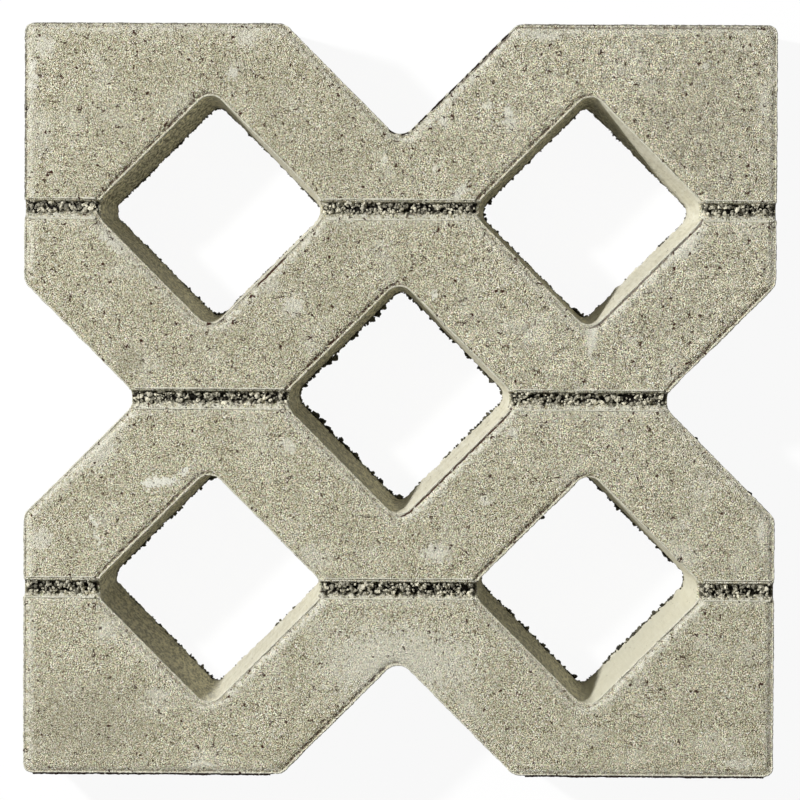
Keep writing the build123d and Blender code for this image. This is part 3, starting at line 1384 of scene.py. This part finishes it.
class RimReader:
    """Finds the edges of the construction model where its surfaces meet, as polylines."""

    FLAT_FROM: float = 0.95
    UPRIGHT_BELOW: float = 0.3

    def __init__(self, mesh: bpy.types.Mesh) -> None:
        """Read a merged mesh.

        Args:
            mesh: the mesh.
        """
        self.grid = bmesh.new()
        self.grid.from_mesh(mesh)
        self.grid.faces.ensure_lookup_table()

    def close(self) -> None:
        """Free the working mesh."""
        self.grid.free()

    def chains(self, level: float, flat_up: float) -> list[Polyline]:
        """Polylines at one height along which an upright wall meets a flat face.

        Args:
            level: height of the edges.
            flat_up: Z of the flat face's normal, 1 or -1.

        Returns:
            One list of points for each open or closed run of edges.
        """
        chosen = []
        for edge in self.grid.edges:
            if any(abs(v.co.z - level) > 0.01 * MM for v in edge.verts) or len(edge.link_faces) != 2:
                continue
            wall, flat = sorted(face.normal.z * flat_up for face in edge.link_faces)
            if wall < self.UPRIGHT_BELOW and flat > self.FLAT_FROM:
                chosen.append(edge)
        return self.walk(chosen)

    def walk(self, edges: list[bmesh.types.BMEdge]) -> list[Polyline]:
        """Join loose edges end to end.

        Args:
            edges: the edges.

        Returns:
            One list of points for each run.
        """
        beside: dict[int, list[bmesh.types.BMEdge]] = {}
        for edge in edges:
            for vert in edge.verts:
                beside.setdefault(vert.index, []).append(edge)
        unused = {edge.index for edge in edges}
        ends = [v for edge in edges for v in edge.verts if len(beside[v.index]) == 1]
        chains = []
        for start in ends + [edge.verts[0] for edge in edges]:
            line, here = [start.co.copy()], start
            while onward := [edge for edge in beside[here.index] if edge.index in unused]:
                unused.remove(onward[0].index)
                here = onward[0].other_vert(here)
                line.append(here.co.copy())
            if len(line) > 1:
                chains.append(line)
        return chains


def spaced(line: Polyline, step: float) -> Polyline:
    """Put points about one step apart on a polyline.

    Args:
        line: the polyline.
        step: the distance.

    Returns:
        The same polyline with more points.
    """
    points = [line[0].copy()]
    for first, second in zip(line, line[1:]):
        parts = max(1, round((second - first).length / step))
        points += [first.lerp(second, (i + 1) / parts) for i in range(parts)]
    return points


@dataclass
class PressedFins:
    """The thin ragged fins squeezed up between the tamper and the mould, along every pressed edge.

    Attributes:
        setback: how far the fins stand in from the wall.
        front_width: half width in mm of the fins low on the front side.
        crests: side, half width in mm and height in mm above the face of each channel's crests.
        fewest: number of points below which a rim is too short for a fin.
    """

    plan: PaverPlan
    material: bpy.types.Material
    step: float = 0.8 * MM
    setback: float = 0.38 * MM
    front_width: float = 0.58
    fewest: int = 4
    crests: tuple[tuple[float, float, float], ...] = ((-0.96, 0.46, -0.20), (1.08, 0.50, -0.16))
    seed: int = 23
    curve: bpy.types.Curve = field(init=False)
    rng: np.random.Generator = field(init=False)

    def build(self, chains: list[Polyline]) -> bpy.types.Object:
        """Draw a fin along every rim and a crest along every channel, uneven and broken in places.

        Args:
            chains: the upper rims of the cells and of the block.

        Returns:
            All fins as one object.
        """
        self.rng = np.random.default_rng(self.seed)
        self.curve = bpy.data.curves.new("pressed_fins", "CURVE")
        self.curve.dimensions = "3D"
        self.curve.bevel_depth, self.curve.bevel_resolution = 1.0 * MM, 1
        self.curve.use_fill_caps = True
        for chain in chains:
            self.follow(np.array(spaced(chain, self.step)))
        front, low = -self.plan.half - 0.42 * MM, self.plan.land_level - 0.5 * MM
        for side in (-1.0, 1.0):
            far, near = side * (self.plan.half - 5.0 * MM), side * (self.plan.half_diagonal + 4.0 * MM)
            self.straight((far, front, low), (near, front, low), self.front_width)
        for first, last, y in self.plan.channel_stretches():
            for side, width, lift in self.crests:
                edge, high = y + side * self.plan.channel_width / 2, self.plan.top + lift * MM
                self.straight((first + 2 * MM, edge, high), (last - 2 * MM, edge, high), width)
        only(link_new("pressed_fins", self.curve))
        bpy.ops.object.convert(target="MESH")
        fins = bpy.context.object
        Relief(Basis.CLOUDY, 1.4 * MM, 0.45 * MM, octaves=1, jumble=True).press(fins, "fin_wear")
        fins.data.materials.append(self.material)
        points = vertex_array(fins.data)
        # pale paste on the fins, plus a painted highlight that grows where they face the lamp, full on the
        # channel crests
        lit = 0.5 + 0.4 * np.clip(np.maximum(*self.plan.facing(points)), 0.0, 1.0)
        store(fins.data, "fin_pale_and_lit", np.where(self.plan.wall_distance(points) > 1.8 * MM, 1.0, lit))
        # painted shade along the outer edge of the fins too
        store(fins.data, "outer_edge_shade", self.plan.outer_edge_shade(points))
        smooth(fins)
        return fins

    def follow(self, points: np.ndarray) -> None:
        """Add one fin along a rim, lower where it faces the light and thinner along the front.

        Args:
            points: rows of positions along the rim.
        """
        sunward, backward = self.plan.facing(points)
        sunny = np.clip(np.maximum(sunward, 0.75 * backward), 0.0, 1.0)
        crumbly = 0.18 * np.clip(-backward, 0.0, 1.0)
        points = points + self.plan.inward(points) * self.setback
        points[:, 2] += 0.12 * MM - 0.38 * MM * sunny
        self.draw(points, 0.62 - 0.16 * sunny - crumbly)

    def straight(self, first: tuple[float, ...], last: tuple[float, ...], width: float) -> None:
        """Add one fin of even width, in millimetres, from one place to another."""
        points = np.array(spaced([Vector(first), Vector(last)], self.step))
        self.draw(points, np.full(len(points), width))

    def draw(self, points: np.ndarray, widths: np.ndarray) -> None:
        """Add one uneven fin along the points.

        Args:
            points: rows of positions along the fin's middle.
            widths: half width at each point, in millimetres.
        """
        if len(points) < self.fewest:
            return
        closed = np.linalg.norm(points[0] - points[-1]) < 0.3 * MM
        points = points[:-1] if closed else points
        spline = self.curve.splines.new("POLY")
        spline.points.add(len(points) - 1)
        spline.use_cyclic_u = bool(closed)
        waves = np.convolve(self.rng.normal(size=len(points) + 8), np.ones(9) / 3.0, "valid")
        rough = np.clip(1.0 + 0.14 * waves + 0.12 * self.rng.normal(size=len(points)), 0.3, 1.4)
        for spot, point, wave, radius in zip(spline.points, points, waves, widths * rough):
            spot.co = (point[0], point[1], point[2] + 0.12 * MM * wave, 1.0)
            spot.radius = radius


CRUMB_SHARES = {Side.TO_RIGHT_FRONT: 0.95, Side.TO_LEFT_FRONT: 0.50, Side.TO_RIGHT_BACK: 0.85}
LEFT_BACK_SHARES = {(-1, 1): 0.85, (-1, -1): 0.30, (1, -1): 0.85, (1, 1): 0.05, (0, 0): 0.08}


@dataclass
class RimCrumbs:
    """Grains that hang on at the lower rims, where the mould was drawn off.

    Attributes:
        largest_at_back: size limit in the two back cells.
        overhang: how far crumbs may stand out from the block's sides.
        torn_cells: cells whose rims tore most.
        outer_share: share of places on the block's own sides that hold a crumb.
        other_share: the same on walls that face the left back in the half cells.
    """

    plan: PaverPlan
    finish: StoneFinish
    step: float = 0.9 * MM
    smallest: float = 1.4 * MM
    largest: float = 5.0 * MM
    largest_at_back: float = 2.0 * MM
    overhang: float = 1.0 * MM
    torn_cells: tuple[tuple[int, int], ...] = ((0, 0), (1, -1))
    outer_share: float = 0.25
    other_share: float = 0.15
    seed: int = 37

    def keep(self, point: Vector, outward: np.ndarray) -> float:
        """Share of places along a rim that hold a crumb, by the way the wall faces.

        Args:
            point: a place on the rim.
            outward: plan direction out of the concrete.

        Returns:
            The share.
        """
        if max(abs(point.x), abs(point.y)) > self.plan.half - 1.0 * MM:
            return self.outer_share
        if outward[1] > 0 and point.y > self.plan.half - 60.0 * MM:
            return 0.0
        side = Side((1 if outward[0] > 0 else -1, 1 if outward[1] > 0 else -1))
        if side is Side.TO_LEFT_BACK:
            return LEFT_BACK_SHARES.get(self.plan.cell(point), self.other_share)
        return CRUMB_SHARES[side]

    def build(self, chains: list[Polyline]) -> bpy.types.Object:
        """Set crumbs along every lower rim, in uneven clusters.

        Args:
            chains: the lower rims of the cells and of the block.

        Returns:
            All crumbs as one object.
        """
        rng = np.random.default_rng(self.seed)
        places, sizes = [], []
        for chain in chains:
            line = spaced(chain, self.step)
            cluster = np.convolve(rng.normal(size=len(line) + 6), np.ones(7) / math.sqrt(7), "valid")
            for point, bunch, outward in zip(line, cluster, -self.plan.inward(np.array(line))):
                if rng.random() > self.keep(point, outward) + (0.25 if outward[0] > 0 else 0.5) * bunch:
                    continue
                size = self.smallest + (self.largest - self.smallest) * rng.beta(1.1, 3.2)
                if point.y > self.plan.grid / 2 and abs(point.x) > self.plan.grid / 2:
                    size = min(0.62 * size, self.largest_at_back)
                torn = self.plan.cell(point) in self.torn_cells
                size *= 1.1 if torn else 1.0
                near, far = (-0.42, 0.26) if torn else (-0.55, 0.18)
                out = rng.uniform(near, far + 0.08 * float(bunch)) * size
                if outward[0] < 0:
                    size *= 0.55 if bunch < 1.2 and not torn else 0.8
                    out = rng.uniform(-0.1, 0.30) * size
                high = size * 0.45 + rng.exponential(1.2 * MM)
                places.append(np.array(point) + outward * out + (0, 0, high))
                sizes.append(size)
        crumbs = StoneHeap("rim_crumbs", self.finish, self.seed).build(np.array(places), np.array(sizes))
        points, reach = vertex_array(crumbs.data), self.plan.half + self.overhang
        points[:, 2] = np.maximum(points[:, 2], 0.0)
        points[:, :2] = np.clip(points[:, :2], -reach, reach)
        move_points(crumbs.data, points)
        return crumbs


@dataclass(frozen=True)
class StudioStage:
    """A pale floor, a soft key light from the back left and an even fill."""

    floor_size: float = 8.0
    key_power: float = 48.0
    key_place: tuple[float, float, float] = (-0.767, 0.389, 1.014)
    key_radius: float = 0.045
    fill: float = 0.21
    shadow_share: float = 0.07
    floor_albedo: float = 0.06
    shown_albedo: float = 0.95

    def build(self) -> None:
        """Make the floor, the lamp and the surrounding light."""
        bpy.ops.object.select_all(action="DESELECT")
        bpy.ops.mesh.primitive_plane_add(size=self.floor_size)
        floor = bpy.context.object
        floor.name = "studio_floor"
        floor.data.materials.append(self.floor_material())
        self.key()
        self.surround()

    def key(self) -> None:
        """Hang the key lamp, whose light doesn't weaken with distance."""
        lamp = bpy.data.lights.new("key", "POINT")
        lamp.energy, lamp.shadow_soft_size = self.key_power, self.key_radius
        sheet = NodeSheet(lamp)
        even = sheet.add("ShaderNodeLightFalloff", {"Strength": 1.0}).outputs["Constant"]
        glow = sheet.add("ShaderNodeEmission", {"Strength": even}).outputs[0]
        sheet.add("ShaderNodeOutputLight", {"Surface": glow})
        link_new("key", lamp).location = self.key_place

    def seen(self, sheet: NodeSheet) -> Socket:
        """Tell where the camera sees a surface, directly, in a gloss or through glass.

        Args:
            sheet: nodes of the floor or the backdrop.

        Returns:
            1 there, and 0 for light that falls on the object.
        """
        ray = sheet.add("ShaderNodeLightPath").outputs
        total = sheet.plus(ray["Is Camera Ray"], ray["Is Glossy Ray"], clamp=True)
        return sheet.plus(total, ray["Is Transmission Ray"], clamp=True)

    def floor_material(self) -> bpy.types.Material:
        """Make a floor that looks white, keeps a faint shadow and throws back little light.

        Returns:
            The material.
        """
        sheet = NodeSheet(bpy.data.materials.new("studio_floor"))
        dull = sheet.add("ShaderNodeBsdfDiffuse", {"Color": grey(self.floor_albedo)}).outputs[0]
        pale = sheet.add("ShaderNodeBsdfDiffuse", {"Color": grey(self.shown_albedo)}).outputs[0]
        glow = sheet.add("ShaderNodeEmission").outputs[0]
        shown = sheet.blend(self.shadow_share, glow, pale)
        sheet.add("ShaderNodeOutputMaterial", {"Surface": sheet.blend(self.seen(sheet), dull, shown)})
        return sheet.owner

    def surround(self) -> None:
        """Make a white backdrop that lights the object only gently."""
        world = bpy.data.worlds.new("studio")
        bpy.context.scene.world = world
        sheet = NodeSheet(world)
        fill = sheet.add("ShaderNodeBackground", {"Strength": self.fill}).outputs[0]
        white = sheet.add("ShaderNodeBackground").outputs[0]
        sheet.add("ShaderNodeOutputWorld", {"Surface": sheet.blend(self.seen(sheet), fill, white)})


@dataclass(frozen=True)
class PhotoCamera:
    """The photograph's camera: almost straight above, through a long lens."""

    place: tuple[float, float, float] = (0.0241, 0.0659, 2.0576)
    aim: tuple[float, float, float] = (0.0003, 0.0211, 0.08)
    roll: float = 0.00469
    lens: float = 169.0
    shift_y: float = -0.05

    def build(self) -> None:
        """Make the camera and set it as the scene's own."""
        data = bpy.data.cameras.new("photo_camera")
        data.lens, data.shift_y = self.lens, self.shift_y
        camera = link_new("photo_camera", data)
        forward = (Vector(self.aim) - Vector(self.place)).normalized()
        right = forward.cross(Vector((-math.sin(self.roll), math.cos(self.roll), 0.0))).normalized()
        axes = Matrix((right, right.cross(forward), -forward)).transposed()
        camera.matrix_world = Matrix.Translation(self.place) @ axes.to_4x4()
        bpy.context.scene.camera = camera


def report(piece: bpy.types.Object) -> None:
    """Set a finished piece's body, and log it.

    Args:
        piece: the piece, which rides on the one body.
    """
    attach(piece, BODY)
    triangles = sum(len(face.vertices) - 2 for face in piece.data.polygons)
    LOG.info("%s: %d triangles", piece.name, triangles)


def main() -> None:
    """Build every piece around the frame, then the stage and the camera."""
    logging.basicConfig(level=logging.INFO, format="%(message)s")
    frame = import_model()
    low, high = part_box(NODE)
    plan = PaverPlan(side=high.x - low.x, top=high.z)
    bpy.context.scene.view_settings.view_transform = "Standard"

    casting = PaverCasting(plan)
    block = casting.build(frame["nodes"][NODE])
    concrete = CastConcreteFinish().build()
    block.data.materials.append(concrete)
    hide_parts(NODE)
    report(block)

    pattern = casting.copy_node(frame["nodes"][NODE])
    rims = RimReader(pattern.data)
    report(PressedFins(plan, concrete).build(rims.chains(plan.land_level, 1.0)))
    # crumbs very dark: painted shade, as if they sat in the rims' shadow
    crumb_painted_shade = StoneFinish("crumb_painted_shade", grey(0.018, 0.2), grey(0.11, 0.3))
    report(RimCrumbs(plan, crumb_painted_shade).build(rims.chains(0.0, -1.0)))
    rims.close()
    bpy.data.objects.remove(pattern)
    stone = StoneFinish("channel_stone", grey(0.08, 0.25), grey(0.80, 0.20))
    report(ChannelAggregate(plan, stone).build())

    StudioStage().build()
    PhotoCamera().build()


if __name__ == "__main__":
    main()
